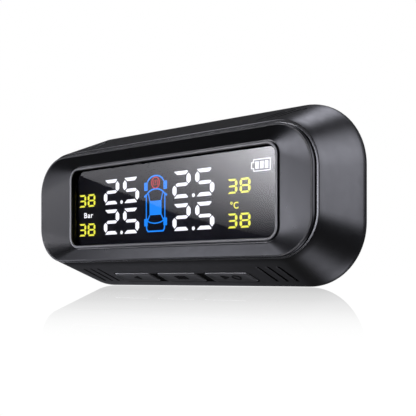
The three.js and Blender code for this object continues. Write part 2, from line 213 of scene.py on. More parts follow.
def bake_modifiers(target):
    graph = bpy.context.evaluated_depsgraph_get()
    mesh = bpy.data.meshes.new_from_object(target.evaluated_get(graph))
    old = target.data
    target.modifiers.clear()
    target.data = mesh
    bpy.data.meshes.remove(old)


def cut(target, tool_meshes):
    """Cuts closed bodies that don't touch each other out of target."""
    joined = bmesh.new()
    for body in tool_meshes:
        part = bpy.data.meshes.new("tool_part")
        body.to_mesh(part)
        body.free()
        joined.from_mesh(part)
        bpy.data.meshes.remove(part)
    tool = new_object("tool", joined)
    modifier = target.modifiers.new("cut", "BOOLEAN")
    modifier.operation = "DIFFERENCE"
    modifier.solver = "EXACT"
    modifier.object = tool
    bake_modifiers(target)
    tool_mesh = tool.data
    bpy.data.objects.remove(tool)
    bpy.data.meshes.remove(tool_mesh)


def finish_piece(target, key, body, replaces=(), smooth=True):
    target.data.materials.clear()
    target.data.materials.append(MATERIALS[key])
    if smooth:
        target.data.shade_smooth()
        target.data.set_sharp_from_angle(angle=math.radians(SHARP_DEGREES))
    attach(target, body)
    if replaces:
        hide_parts(*replaces)
    return target


def turned(profile, x, z, sides=32):
    """A body turned about a line along the depth, through (radius, depth) points."""
    turns = [step / sides * 2 * math.pi for step in range(sides)]
    return loft([[Vector((x + radius * math.cos(t), y_at(depth), z + radius * math.sin(t))) * MM
                  for t in turns] for radius, depth in profile])


# ------------ frames on the sloping walls

def wall_frame(depth, side):
    """Local X along the wall, Y back along the slope and Z into the housing, in millimetres."""
    place = Matrix.Translation((0, y_at(depth), side * outline_at(depth)[1]))
    turn = -SLOPE if side < 0 else SLOPE + math.pi
    return place @ Matrix.Rotation(turn, 4, "X")


def wall_ring(place, size, height, centre_x=0.0, turn=0.0, **steps):
    """A rounded rectangle in a wall's frame, at a height into the housing."""
    local = Matrix.Translation((centre_x, 0, 0)) @ Matrix.Rotation(turn, 4, "Z")
    return [(place @ (local @ Vector((x, y, height)))) * MM
            for x, y in rounded_outline(size, **steps)]


def chamfered_cutter(place, size, chamfer, centre_x, turn=0.0):
    """A hole through a wall, with a chamfered mouth."""
    levels = ((grow(size, 3 * chamfer), -2 * chamfer), (size, chamfer), (size, 4.0))
    return loft([wall_ring(place, outline, height, centre_x, turn, corner_steps=5, **PLAIN_SIDES)
                 for outline, height in levels])


# ------------ materials

def node(tree, kind, **settings):
    made = tree.nodes.new("ShaderNode" + kind)
    for key, value in settings.items():
        if key in made.inputs:
            made.inputs[key].default_value = value
        else:
            setattr(made, key, value)
    return made


def link(source, socket):
    socket.id_data.links.new(source, socket)


def empty_material(name):
    material = bpy.data.materials.new(name)
    material.use_nodes = True
    material.node_tree.nodes.clear()
    return material, material.node_tree


def end_material(tree, shaded):
    output = node(tree, "OutputMaterial")
    link(shaded, output.inputs["Surface"])


def principled(name, **settings):
    """A material with its tree and its shader's inputs."""
    material, tree = empty_material(name)
    shader = node(tree, "BsdfPrincipled", **settings)
    end_material(tree, shader.outputs["BSDF"])
    return material, tree, shader.inputs


def compute(tree, operation, first, second=None):
    """A math node over sockets and plain numbers."""
    made = node(tree, "Math", operation=operation)
    for socket, source in zip(made.inputs, (first, second)):
        if isinstance(source, float):
            socket.default_value = source
        elif source is not None:
            link(source, socket)
    return made.outputs[0]


def compute_vector(tree, operation, source, value=None, result="Vector"):
    made = node(tree, "VectorMath", operation=operation)
    link(source, made.inputs[0])
    if value is not None:
        made.inputs[1].default_value = value
    return made.outputs[result]


def axes(tree, space="Object"):
    """A place's X, Y and Z as sockets."""
    place = node(tree, "TexCoord")
    split = node(tree, "SeparateXYZ")
    link(place.outputs[space], split.inputs["Vector"])
    return split.outputs


def mix_shaders(tree, share, first, second):
    made = node(tree, "MixShader")
    for socket, source in zip(made.inputs, (share, first, second)):
        link(source, socket)
    return made.outputs["Shader"]


def mix_colours(tree, share, first, second):
    """Mixes a colour socket with a plain colour."""
    made = node(tree, "Mix", data_type="RGBA")
    link(share, made.inputs["Factor"])
    link(first, made.inputs[6])
    made.inputs[7].default_value = (*second, 1)
    return made.outputs[2]


def tint(colour, share):
    return tuple(value * share for value in colour)


def noise(tree, scale, detail=2.0, roughness=0.5, stretch=None):
    """Noise in the object's own space, so that the grain has a real size."""
    place = node(tree, "TexCoord")
    made = node(tree, "TexNoise", Scale=scale, Detail=detail, Roughness=roughness)
    source = place.outputs["Object"]
    if stretch:
        mapping = node(tree, "Mapping", Scale=stretch)
        link(source, mapping.inputs["Vector"])
        source = mapping.outputs["Vector"]
    link(source, made.inputs["Vector"])
    return made.outputs["Fac"]


def ramp(tree, source, stops):
    made = node(tree, "ValToRGB")
    elements = made.color_ramp.elements
    for index, (position, colour) in enumerate(stops):
        element = elements[index] if index < 2 else elements.new(position)
        element.position = position
        element.color = (*colour, 1)
    link(source, made.inputs["Fac"])
    return made.outputs["Color"]


def spread(tree, source, low, high, from_low=0.0, from_high=1.0):
    made = node(tree, "MapRange", **{
        "From Min": from_low, "From Max": from_high, "To Min": low, "To Max": high})
    link(source, made.inputs["Value"])
    return made.outputs["Result"]


def bump(tree, source, strength, distance):
    made = node(tree, "Bump", Strength=strength, Distance=distance)
    link(source, made.inputs["Height"])
    return made.outputs["Normal"]


def plastic(name, colour, roughness, grain_mm, grain_depth_mm, specular=0.5):
    """Moulded plastic: faint colour clouding, uneven gloss and a fine moulded grain."""
    material, tree, shader = principled(name, **{"Specular IOR Level": specular})
    shades = [(0.3, tint(colour, 0.88)), (0.7, tint(colour, 1.12))]
    gloss = spread(tree, noise(tree, 420.0, detail=3.0), roughness * 0.9, roughness * 1.1, 0.25, 0.75)
    grain = noise(tree, 1000.0 / grain_mm, detail=1.5)
    link(ramp(tree, noise(tree, 90.0, detail=4.0), shades), shader["Base Color"])
    link(gloss, shader["Roughness"])
    link(bump(tree, grain, 1.0, grain_depth_mm * MM), shader["Normal"])
    return material


def metal(name, colour, roughness, grain_mm=0.4, stretch=(1, 12, 1)):
    """Plated or rolled metal with fine drawn streaks."""
    material, tree, shader = principled(name, Metallic=1.0)
    streaks = noise(tree, 1000.0 / grain_mm, detail=3.0, stretch=stretch)
    link(ramp(tree, streaks, [(0.3, tint(colour, 0.82)), (0.7, colour)]), shader["Base Color"])
    link(spread(tree, streaks, roughness * 0.8, roughness * 1.25), shader["Roughness"])
    link(bump(tree, streaks, 0.6, 0.004 * MM), shader["Normal"])
    return material


def clear_pane(name, colour, mirror_ior, roughness):
    """A thin clear sheet: it mirrors by its angle and passes the rest, tinted."""
    material, tree = empty_material(name)
    through = node(tree, "BsdfTransparent", Color=(*colour, 1))
    mirror = node(tree, "BsdfGlossy", Roughness=roughness)
    share = node(tree, "Fresnel", IOR=mirror_ior)
    end_material(tree, mix_shaders(
        tree, share.outputs["Fac"], through.outputs["BSDF"], mirror.outputs["BSDF"]))
    return material


def clear_sheet(name, colour):
    """The far side of a clear pane, which only tints."""
    material, tree = empty_material(name)
    smoke = ramp(tree, noise(tree, 300.0), [(0.3, tint(colour, 0.98)), (0.7, colour)])
    through = node(tree, "BsdfTransparent")
    link(smoke, through.inputs["Color"])
    end_material(tree, through.outputs["BSDF"])
    return material


def lit(name, colour, strength):
    """A lit display segment, a little brighter in patches as a printed filter is."""
    material, tree, shader = principled(name, Roughness=0.5, **{"Emission Strength": strength})
    shader["Base Color"].default_value = (*tint(colour, 0.4), 1)
    patches = ramp(tree, noise(tree, 900.0), [(0.35, tint(colour, 0.93)), (0.65, colour)])
    link(patches, shader["Emission Color"])
    return material


def solar_cells(name):
    """Dark blue cells parted by gaps, with fine silver fingers and wider bus lines."""
    material, tree, shader = principled(name, Roughness=0.22, **{"Coat Weight": 0.6})
    place = axes(tree)

    def lines(axis, pitch_mm, width_mm):
        repeat = compute(tree, "FRACT", compute(tree, "DIVIDE", place[axis], pitch_mm * MM))
        return compute(tree, "LESS_THAN", repeat, width_mm / pitch_mm)

    crystal = noise(tree, 700.0, detail=5.0)
    cells = ramp(tree, crystal, [(0.35, (0.003, 0.006, 0.025)), (0.7, (0.008, 0.018, 0.07))])
    fingers = mix_colours(tree, lines("Z", 1.15, 0.09), cells, (0.33, 0.35, 0.38))
    buses = mix_colours(tree, lines("X", 8.25, 0.5), fingers, (0.5, 0.5, 0.52))
    link(buses, shader["Base Color"])
    return material


def circuit_board(name):
    """Green solder mask over faint copper tracks."""
    material, tree, shader = principled(name, Roughness=0.35)
    place = node(tree, "TexCoord")
    flat = node(tree, "Mapping", Rotation=(math.pi / 2, 0, 0))
    tracks = node(tree, "TexBrick", Scale=260.0, **{
        "Mortar Size": 0.04, "Color1": (0.006, 0.07, 0.02, 1), "Color2": (0.008, 0.085, 0.026, 1),
        "Mortar": (0.02, 0.15, 0.05, 1)})
    link(place.outputs["Object"], flat.inputs["Vector"])
    link(flat.outputs["Vector"], tracks.inputs["Vector"])
    link(tracks.outputs["Color"], shader["Base Color"])
    link(bump(tree, tracks.outputs["Fac"], 0.5, 0.03 * MM), shader["Normal"])
    return material


MATERIALS = {
    "shell": plastic("shell_plastic", (0.0075, 0.0075, 0.008), 0.32, 0.22, 0.003),
    "bezel": plastic("bezel_plastic", (0.0075, 0.0078, 0.0095), 0.3, 0.3, 0.0015),
    # Painted highlight: the lip's plastic is lighter than the bezel's and glossier, standing in for the
    # light its edges catch
    "lip": plastic("lip_painted_highlight_plastic", (0.03, 0.03, 0.032), 0.3, 0.3, 0.001, specular=1.4),
    # Painted highlight: a slightly lighter copy of the shell plastic with a much stronger gloss, for the
    # housing's front rim
    "rim_painted_highlight": plastic("rim_painted_highlight_plastic", (0.009, 0.009, 0.01), 0.24, 0.3, 0.001, specular=3.4),
    # Painted shade: a dull near-black for the window's wall and the wells between the buttons, where
    # shade falls
    "mask": plastic("recess_painted_shade_black", (0.003, 0.003, 0.003), 0.7, 0.3, 0.002, specular=0.1),
    "button": plastic("button_plastic", (0.055, 0.055, 0.056), 0.38, 0.2, 0.003, specular=1.25),
    # Painted highlight: glossier copies of the button plastic, a faint one and a lighter strong one, for
    # the buttons' front edge
    "button_faint_painted_highlight": plastic("button_plastic_faint_painted_highlight", (0.05, 0.05, 0.051), 0.36, 0.2, 0.003, specular=1.6),
    "button_painted_highlight": plastic("button_plastic_painted_highlight", (0.09, 0.09, 0.092), 0.34, 0.2, 0.003, specular=3.2),
    "icon": plastic("icon_ink", (0.004, 0.004, 0.004), 0.6, 0.1, 0.002, specular=0.25),
    "seal": plastic("seal_rubber", (0.005, 0.005, 0.005), 0.8, 0.12, 0.008),
    "lens": clear_pane("lens_pane", (0.9, 0.9, 0.93), 1.5, 0.02),
    "lens_back": clear_sheet("lens_back_face", (0.92, 0.92, 0.94)),
    "lcd": plastic("lcd_glass", (0.006, 0.0056, 0.014), 0.45, 0.5, 0.0, specular=0.2),
    "light_plate": plastic("light_plate_acrylic", (0.8, 0.81, 0.83), 0.35, 0.4, 0.002),
    "white_plastic": plastic("white_plastic", (0.62, 0.62, 0.6), 0.45, 0.2, 0.004),
    "board": circuit_board("board_mask"),
    "chip": plastic("chip_epoxy", (0.008, 0.008, 0.008), 0.6, 0.1, 0.006),
    "steel": metal("plated_steel", (0.6, 0.61, 0.63), 0.28),
    "copper": metal("copper_wire", (0.7, 0.32, 0.14), 0.3),
    "battery": metal("battery_pouch", (0.55, 0.56, 0.58), 0.35, grain_mm=2.0, stretch=(1, 1, 1)),
    "foam": plastic("foam", (0.02, 0.02, 0.02), 0.9, 0.5, 0.08),
    "solar": solar_cells("solar_cells"),
    "film": clear_pane("gel_film", (0.93, 0.95, 0.96), 1.4, 0.08),
    "film_back": clear_sheet("gel_film_inner_face", (0.95, 0.96, 0.97)),
    "red_wire": plastic("red_insulation", (0.4, 0.01, 0.01), 0.4, 0.3, 0.002),
    "black_wire": plastic("black_insulation", (0.01, 0.01, 0.01), 0.4, 0.3, 0.002),
    "white_light": lit("white_segments", (1.0, 1.0, 1.0), 1.3),
    "soft_white_light": lit("soft_white_segments", (1.0, 1.0, 1.0), 0.95),
    "yellow_light": lit("yellow_segments", (0.96, 0.93, 0.07), 1.2),
    "blue_light": lit("blue_segments", (0.003, 0.27, 1.0), 1.1),
    "red_light": lit("red_segments", (0.72, 0.02, 0.03), 1.0),
}


# ------------ case pieces

# The rings of the housing's front rim: how far each stands in from the outline, and back from the start
RIM_RINGS = ((0.62, 0.0), (0.58, 0.004), (0.1, 0.13), (0.06, 0.15), (0.02, 0.2), (0.0, 0.27))
RIM_END = 0.28
# How far back from the housing's start the rim's painted highlight reaches
RIM_PAINTED_HIGHLIGHT_DEPTH = 0.14


def housing_rings():
    """Once round the wall: the rim, the flare, the rear round, the cover's opening and the inside."""
    rings = [ring(shrink(outline_at(HOUSING_START + back), inset), HOUSING_START + back)
             for inset, back in RIM_RINGS]
    flare = FLARE_END - HOUSING_START - RIM_END
    depths = [HOUSING_START + RIM_END + step / 7 * flare for step in range(1, 8)]
    depths += [FLARE_END + REAR_RADIUS * math.sin(step / 16 * math.pi / 2) for step in range(1, 17)]
    rings += [ring(outline_at(depth), depth) for depth in depths]
    opening = grow(COVER_SIZE, FIT_GAP)
    rings += [ring(grow(opening, wider), HOUSING_END - deeper) for wider, deeper in quarter(3, 0.25)]
    rings.append(ring(opening, COVER_START))
    seat_end = BEZEL_BACK + FIT_GAP
    inside = (COVER_START, FLARE_END, seat_end)
    rings += [ring(shrink(outline_at(depth), WALL), depth) for depth in inside]
    seat = shrink(outline_at(HOUSING_START), FRONT_WALL)
    lead_in = 0.1
    rings += [ring(seat, seat_end), ring(seat, HOUSING_START + lead_in)]
    rings.append(ring(grow(seat, lead_in), HOUSING_START))
    return rings


def housing_cutters():
    """The openings for the buttons, the slots and the charging socket."""
    opening = (*grow((BUTTON_WIDTH / 2, BUTTON_LENGTH / 2), BUTTON_GAP), OPENING_RADIUS, OPENING_RADIUS)
    place = wall_frame(BUTTON_DEPTH, -1)
    centres = [BUTTON_ROW_X + index * BUTTON_PITCH for index in (-1, 0, 1)]
    cutters = [chamfered_cutter(place, opening, OPENING_CHAMFER, centre_x) for centre_x in centres]
    radius = SLOT_WIDTH / 2 - 0.05
    for end in (-1, 1):
        for index in range(3):
            for depth, side, length, inner_x, slant in SLOT_ROWS:
                cutters.append(chamfered_cutter(
                    wall_frame(depth, side), (SLOT_WIDTH / 2, length / 2, radius, radius), SLOT_CHAMFER,
                    end * (inner_x + index * SLOT_PITCH), end * slant))
    return cutters + [loft([usb_ring(x, *USB_OPENING) for x in (-60, -47)])]


def cut_wells(housing, place):
    """The shallow wells between the buttons, as wide as the wall that is left there."""
    size = ((BUTTON_PITCH - BUTTON_WIDTH) / 2 - BUTTON_GAP + 0.05, BUTTON_LENGTH / 2, 0.05, 0.05)
    centres = [BUTTON_ROW_X + side * BUTTON_PITCH / 2 for side in (-1, 1)]
    cut(housing, [
        loft([wall_ring(place, size, height, centre_x, corner_steps=2, **PLAIN_SIDES)
              for height in (-0.5, WELL_DEPTH)]) for centre_x in centres])


def paint_housing(housing, place):
    """Painted highlight on the front rim, and painted shade, a dull black, in the wells between the
    buttons.
    """
    housing.data.materials.append(MATERIALS["rim_painted_highlight"])
    housing.data.materials.append(MATERIALS["mask"])
    reach = (BUTTON_PITCH - BUTTON_WIDTH) / 2 + 0.15
    for polygon in housing.data.polygons:
        local = place.inverted() @ (polygon.center / MM)
        across = abs(abs(local.x - BUTTON_ROW_X) - BUTTON_PITCH / 2)
        beside = across < reach and abs(local.y) < BUTTON_LENGTH / 2 + 0.1
        # the wells between the buttons take the painted shade
        if beside and -0.1 < local.z < WELL_DEPTH + 0.02:
            polygon.material_index = 2
        elif depth_of(polygon.center.y) < HOUSING_START + RIM_PAINTED_HIGHLIGHT_DEPTH:
            polygon.material_index = 1


def make_housing():
    housing = new_object("housing_shell", loft(housing_rings(), closed=True))
    cut(housing, housing_cutters())
    place = wall_frame(BUTTON_DEPTH, -1)
    cut_wells(housing, place)
    finish_piece(housing, "shell", "case", ["housing"])
    paint_housing(housing, place)


def usb_ring(x, half_height, half_thickness, radius, steps=8):
    """A rounded rectangle facing left, with its long side upright."""
    low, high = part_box("usb_socket")
    centre = (low + high) / 2
    size = (half_height, half_thickness, radius, radius)
    outline = rounded_outline(size, corner_steps=steps, side_steps=(1, 1))
    return [Vector((x * MM, centre.y + b * MM, centre.z + a * MM)) for a, b in outline]


def make_bezel():
    """The bezel: an edge round, a flat slope down to a thin groove, and a raised lip round the window."""
    lip = grow(WINDOW_SIZE, LIP_WIDTH)
    groove = grow(lip, 0.3)
    groove_floor, lip_top = DISH_DEPTH + 0.3, DISH_DEPTH - LIP_RISE
    rings = [ring(BEZEL_SIZE, FLANGE_END, BEZEL_CENTRE)]
    rings += [ring(shrink(BEZEL_SIZE, inset), depth, BEZEL_CENTRE) for depth, inset in quarter(6, 0.16)]
    outer = shrink(BEZEL_SIZE, DISH_LAND)
    for share in (0.0, 0.02, 0.25, 0.5, 0.75, 0.98, 1.0):
        centre = tuple(value * (1 - share) for value in BEZEL_CENTRE)
        rings.append(ring(blend_size(outer, groove, share), DISH_DEPTH * share * 0.97, centre))
    first_of_lip = len(rings)
    rings += [ring(groove, groove_floor), ring(lip, groove_floor)]
    rings += [ring(shrink(lip, inset), lip_top + depth) for depth, inset in quarter(4, 0.22)]
    rings += [ring(grow(WINDOW_SIZE, wider), lip_top + depth) for wider, depth in quarter(4, 0.25)]
    first_of_wall = len(rings) - 1
    pocket = grow(WINDOW_SIZE, LENS_OVERLAP + FIT_GAP)
    tongue = shrink(outline_at(HOUSING_START), FRONT_WALL + FIT_GAP)
    rings += [ring(size, depth) for size, depth in (
        (WINDOW_SIZE, LENS_POCKET), (pocket, LENS_POCKET), (pocket, BEZEL_BACK), (tongue, BEZEL_BACK),
        (tongue, FLANGE_END))]
    bezel = new_object("bezel_frame", loft(rings, closed=True))
    finish_piece(bezel, "bezel", "case", ["front_bezel"])
    bezel.data.materials.append(MATERIALS["lip"])
    bezel.data.materials.append(MATERIALS["mask"])
    per_band = len(rings[0])
    for polygon in bezel.data.polygons:
        band = polygon.index // per_band
        # the lip and the groove's floor take the painted highlight
        if first_of_lip <= band < first_of_wall:
            polygon.material_index = 1
        # the window's wall takes the painted shade
        elif first_of_wall <= band <= first_of_wall + 2:
            polygon.material_index = 2


def make_slab(name, box, radius, edge, material, replaced):
    """A flat sheet with rounded corners and softened edges, filling a node's box."""
    half_width, half_height, centre = face_of(box)
    start, end = (depth_of(corner.y) for corner in box)
    size = (half_width, half_height, radius, radius)
    border = shrink(size, edge * 3)
    levels = [(border, start)]
    levels += [(shrink(size, inset), start + depth) for inset, depth in quarter(3, edge)]
    levels += [(shrink(size, inset), end - depth) for depth, inset in quarter(3, edge)]
    levels.append((border, end))
    made = new_object(name, loft([
        ring(outline, depth, centre, corner_steps=10, side_steps=(8, 4)) for outline, depth in levels]))
    return finish_piece(made, material, "case", [replaced])


def clear_back_faces(pane, material, outward):
    """Gives a pane's far and side faces a plain clear material, so that it mirrors once only."""
    pane.data.materials.append(MATERIALS[material])
    for polygon in pane.data.polygons:
        if polygon.normal.y * outward < 0.5:
            polygon.material_index = 1


def make_rear_cover():
    """The cover with a framed opening for the solar panel, and counterbored holes for its screws."""
    half_width, half_height, _ = face_of(PANEL_BOX)
    panel = (half_width + FIT_GAP, half_height + FIT_GAP, 1.2, 1.2)
    ledge = (*shrink(panel, PANEL_LEDGE_WIDTH)[:2], 1.0, 1.0)
    rings = [ring(COVER_SIZE, COVER_START)]
    rings += [ring(shrink(COVER_SIZE, inset), HOUSING_END - depth) for depth, inset in quarter(4, 0.3)]
    rings += [ring(grow(panel, wider), HOUSING_END - depth) for wider, depth in quarter(3, 0.2)]
    rings += [ring(size, depth) for size, depth in (
        (panel, PANEL_LEDGE_DEPTH), (ledge, PANEL_LEDGE_DEPTH), (ledge, COVER_START))]
    cover = new_object("rear_cover_plate", loft(rings, closed=True))
    centres = [face_of(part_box(f"rear_screw_{number}"))[2] for number in SCREW_NUMBERS]
    for radius, start, end in ((1.25, COVER_START - 1, 21.2), (2.4, 20.9, HOUSING_END + 1)):
        holes = [turned([(radius, start), (radius, end)], x, z) for x, z in centres]
        cut(cover, holes)
    finish_piece(cover, "shell", "case", ["rear_cover"])


def screw_profile(head_radius, tip, top):
    """(radius, depth) points from the tip over the thread and under the head to its domed top."""
    head, pitch = 1.1, 0.5
    profile = [(0.25, tip), (0.6, tip + 0.25)]
    for turn in range(int((top - head - tip - 0.8) / pitch)):
        at = tip + 0.6 + turn * pitch
        profile += [(0.72, at), (0.94, at + 0.2), (0.94, at + 0.26)]
    profile += [(0.9, top - head), (head_radius - 0.08, top - head), (head_radius, top - head + 0.08)]
    for step in range(7):
        angle = step / 6 * math.pi / 2
        radius = head_radius * (0.35 + 0.65 * math.cos(angle))
        profile.append((radius, top - head * 0.55 * (1 - math.sin(angle))))
    return profile


def make_screw(name, node_name):
    """A pan-head cross-recess screw along the depth, its head towards the back."""
    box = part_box(node_name)
    head_radius, _, (x, z) = face_of(box)
    tip, top = (depth_of(corner.y) for corner in box)
    screw = new_object(name, turned(screw_profile(head_radius, tip, top), x, z))
    for long_x, long_z in ((head_radius * 0.62, 0.24), (0.24, head_radius * 0.62)):
        small, wide = (long_x * 0.55, long_z * 0.7, 0.05, 0.05), (long_x, long_z, 0.06, 0.06)
        levels = ((small, top - 0.75), (wide, top + 0.1))
        blade = loft([ring(size, depth, (x, z), corner_steps=2, **PLAIN_SIDES) for size, depth in levels])
        cut(screw, [blade])
    finish_piece(screw, "steel", "case", [node_name])


def make_usb_socket():
    low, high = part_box("usb_socket")
    mouth, back = low.x / MM, high.x / MM
    half_height = (high.z - low.z) / 2 / MM
    half_thickness = (high.y - low.y) / 2 / MM
    wall, radius = 0.35, 1.4
    insets = ((back, 0.1), (back - 0.1, 0.0), (mouth + 0.12, 0.0), (mouth, 0.12), (mouth, wall - 0.06),
              (mouth + 0.1, wall), (back - 0.8, wall))
    shell = new_object("usb_socket_shell", loft([
        usb_ring(x, half_height - inset, half_thickness - inset, radius - inset) for x, inset in insets]))
    finish_piece(shell, "steel", "case", ["usb_socket"])
    tongue_rings = ((back - 0.9, 3.3, 0.4), (mouth + 0.8, 3.3, 0.4), (mouth + 0.6, 3.1, 0.25))
    tongue = new_object("usb_socket_tongue", loft([usb_ring(*level, 0.1, 3) for level in tongue_rings]))
    finish_piece(tongue, "chip", "case")


# ------------ buttons

def circle_like(outline_points, radius, height, place, centre_x):
    """A round ring with one point for each point of an outline."""
    points = []
    for x, y in outline_points:
        angle = math.atan2(y, x)
        local = Vector((centre_x + radius * math.cos(angle), radius * math.sin(angle), height))
        points.append((place @ local) * MM)
    return points


# The finger dip of a button's face, from its middle out: inset from the edge and share of the full dip
DIP_RINGS = ((2.3, 1.0), (1.8, 0.93), (1.3, 0.65), (0.95, 0.3), (0.7, 0.06))
FINGER_DIP = 0.16
FLANGE_HEIGHTS, STEM_HEIGHTS, STEM_RADIUS = (2.25, 3.05), (3.05, 3.75), 1.2


def make_button(name, index):
    """A cap with a dipped face, a flange inside the wall and a short stem, and its icon."""
    place = wall_frame(BUTTON_DEPTH, -1)
    centre_x = BUTTON_ROW_X + index * BUTTON_PITCH
    steps = {"corner_steps": 8, "side_steps": (10, 4)}
    size = (BUTTON_WIDTH / 2, BUTTON_LENGTH / 2, 1.0, 1.0)
    levels = [((size[0] - inset, size[1] - inset, 0.45, 0.45), FINGER_DIP * dip - BUTTON_PROUD)
              for inset, dip in DIP_RINGS]
    levels += [(shrink(size, inset), depth - BUTTON_PROUD) for inset, depth in quarter(5, 0.35)]
    levels.append((size, FLANGE_HEIGHTS[0]))
    levels += [(grow(size, 0.9), height) for height in FLANGE_HEIGHTS]
    rings = [wall_ring(place, outline, height, centre_x, **steps) for outline, height in levels]
    outline = rounded_outline(size, **steps)
    rings += [circle_like(outline, STEM_RADIUS, height, place, centre_x) for height in STEM_HEIGHTS]
    cap = new_object(f"button_{name}_cap", loft(rings))
    body = f"{name}_button"
    finish_piece(cap, "button", body, [f"button_{name}"])
    paint_button_highlight(cap, place)
    icon = new_object(f"button_{name}_icon", icon_mesh(name, place, centre_x))
    finish_piece(icon, "icon", body, smooth=False)


def paint_button_highlight(cap, place):
    """Painted highlight towards the front: a lighter, glossier copy of the plastic on the front round,
    and a fainter glossier one on the first slope of the finger dip.
    """
    cap.data.materials.append(MATERIALS["button_faint_painted_highlight"])
    cap.data.materials.append(MATERIALS["button_painted_highlight"])
    round_reach, slope_reach = 0.8, 1.6
    for polygon in cap.data.polygons:
        local = place.inverted() @ (polygon.center / MM)
        from_front = local.y + BUTTON_LENGTH / 2
        if local.z <= 0.15 and from_front <= slope_reach:
            polygon.material_index = 2 if from_front < round_reach else 1


def arrow_points(side, shift_x):
    return [(shift_x + x, y) for x, y in ((side * 1.4, 0), (-side * 0.9, -1.15), (-side * 0.9, 1.15))]


def box_points(left, right, low, high):
    return [(left, low), (right, low), (right, high), (left, high)]


def ring_shapes(shift_x, outer, inner, sides=28):
    """A flat ring as plates with four corners each."""
    shapes = []
    for step in range(sides):
        first, second = (2 * math.pi * turn / sides for turn in (step, step + 1))
        corners = ((outer, first), (outer, second), (inner, second), (inner, first))
        shapes.append([(shift_x + r * math.cos(t), r * math.sin(t)) for r, t in corners])
    return shapes


ICONS = {
    "left": [arrow_points(-1, 0.0)],
    "mode": [box_points(x - 0.25, x + 0.25, -1.1, 1.1) for x in (-1.6, -0.55, 0.55, 1.6)],
    "right": [arrow_points(1, -2.0)] + ring_shapes(1.9, 1.4, 1.02),
}


def icon_mesh(name, place, centre_x):
    """Thin inlaid marks on a button's dipped face: arrows, a menu of bars and a ring."""
    height, half_thickness = 0.08 - BUTTON_PROUD, 0.06
    bm = bmesh.new()
    for points in ICONS[name]:
        rows = [[bm.verts.new((place @ Vector((centre_x + x, y, level))) * MM) for x, y in points]
                for level in (height - half_thickness, height + half_thickness)]
        close_plate(bm, rows)
    bmesh.ops.recalc_face_normals(bm, faces=bm.faces)
    return bm


# ------------ display

SEGMENT_DEPTH = (depth_of(LCD_BOX[0].y) - 0.1, depth_of(LCD_BOX[0].y) - 0.04)


def soften_corners(points, cut):
    """Points with each corner rounded off over a short length of the edges beside it."""
    softened = []
    count = len(points)
    for at in range(count):
        here = Vector(points[at])
        before, after = Vector(points[at - 1]), Vector(points[(at + 1) % count])
        first = here + (before - here).normalized() * min(cut, (before - here).length * 0.45)
        last = here + (after - here).normalized() * min(cut, (after - here).length * 0.45)
        middle = (first + last + here * 2) / 4
        softened += [tuple(first), tuple(middle), tuple(last)]
    return softened


class Sheet:
    """Flat shapes just in front of the display glass, collected into one piece of one colour."""

    def __init__(self):
        self.bm = bmesh.new()

    def plate(self, points, soften=0.0):
        if soften:
            points = soften_corners(points, soften)
        area = sum(a[0] * b[1] - b[0] * a[1] for a, b in zip(points, points[1:] + points[:1]))
        if area < 0:
            points = points[::-1]
        rows = [[self.bm.verts.new(Vector((x, y_at(depth), z)) * MM) for x, z in points]
                for depth in SEGMENT_DEPTH]
        close_plate(self.bm, rows)

    def stroke(self, points, width, closed=False):
        """A line of even width through points, mitred at the bends."""
        count = len(points)
        sides = []
        for at in range(count):
            before = points[(at - 1) % count] if closed or at > 0 else points[at]
            after = points[(at + 1) % count] if closed or at + 1 < count else points[at]
            here = Vector(points[at])
            first = (here - Vector(before)).normalized() if Vector(before) != here else None
            second = (Vector(after) - here).normalized() if Vector(after) != here else None
            first, second = first or second, second or first
            along = (first + second).normalized()
            across = Vector((-along.y, along.x)) * (width / 2) / max(0.5, along.dot(first))
            sides.append((here + across, here - across))
        for at in range(count if closed else count - 1):
            (a, b), (c, d) = sides[at], sides[(at + 1) % count]
            self.plate([tuple(a), tuple(b), tuple(d), tuple(c)])

    def make(self, name, light):
        bmesh.ops.remove_doubles(self.bm, verts=self.bm.verts, dist=1e-7)
        bmesh.ops.recalc_face_normals(self.bm, faces=self.bm.faces)
        finish_piece(new_object(name, self.bm), light, "case", smooth=False)


# The height that the segments' outlines below are drawn for, in millimetres
CELL_HEIGHT = 7.55
SEGMENT_ROUND = 0.06
CAP_SHARE = 0.73  # of the letters' size
CAR_X = -4.42


def digit_segments(width, height):
    """A digit's seven outlines in its cell; the left-hand and lower ones mirror the others."""
    scale = height / CELL_HEIGHT
    right_edge = width / scale
    top = [(0.85, 7.5), (right_edge - 1.2, 7.5), (right_edge - 0.95, 7.28), (right_edge - 1.8, 6.48),
           (1.8, 6.48), (0.65, 7.38)]
    right = [(right_edge - 1.5, 6.1), (right_edge - 0.78, 6.85), (right_edge, 6.0), (right_edge, 4.6),
             (right_edge - 0.65, 3.92), (right_edge - 1.5, 4.5)]
    middle = [(1.15, 3.75), (1.8, 4.22), (right_edge - 1.6, 4.22), (right_edge - 0.95, 3.78),
              (right_edge - 1.7, 3.3), (1.6, 3.3)]

    def flip_x(shape):
        return [(right_edge - x, z) for x, z in shape]

    def flip_z(shape):
        return [(x, CELL_HEIGHT - z) for x, z in shape]

    shapes = {"a": top, "b": right, "c": flip_z(right), "d": flip_z(top), "e": flip_z(flip_x(right)),
              "f": flip_x(right), "g": middle}
    return {key: [(x * scale, z * scale) for x, z in shape] for key, shape in shapes.items()}


LIT_SEGMENTS = {"2": "abged", "3": "abgcd", "5": "afgcd", "8": "abcdefg"}


def draw_digit(sheet, digit, left, bottom, width, height):
    outlines = digit_segments(width, height)
    for key in LIT_SEGMENTS[digit]:
        sheet.plate([(left + x, bottom + z) for x, z in outlines[key]], soften=SEGMENT_ROUND)


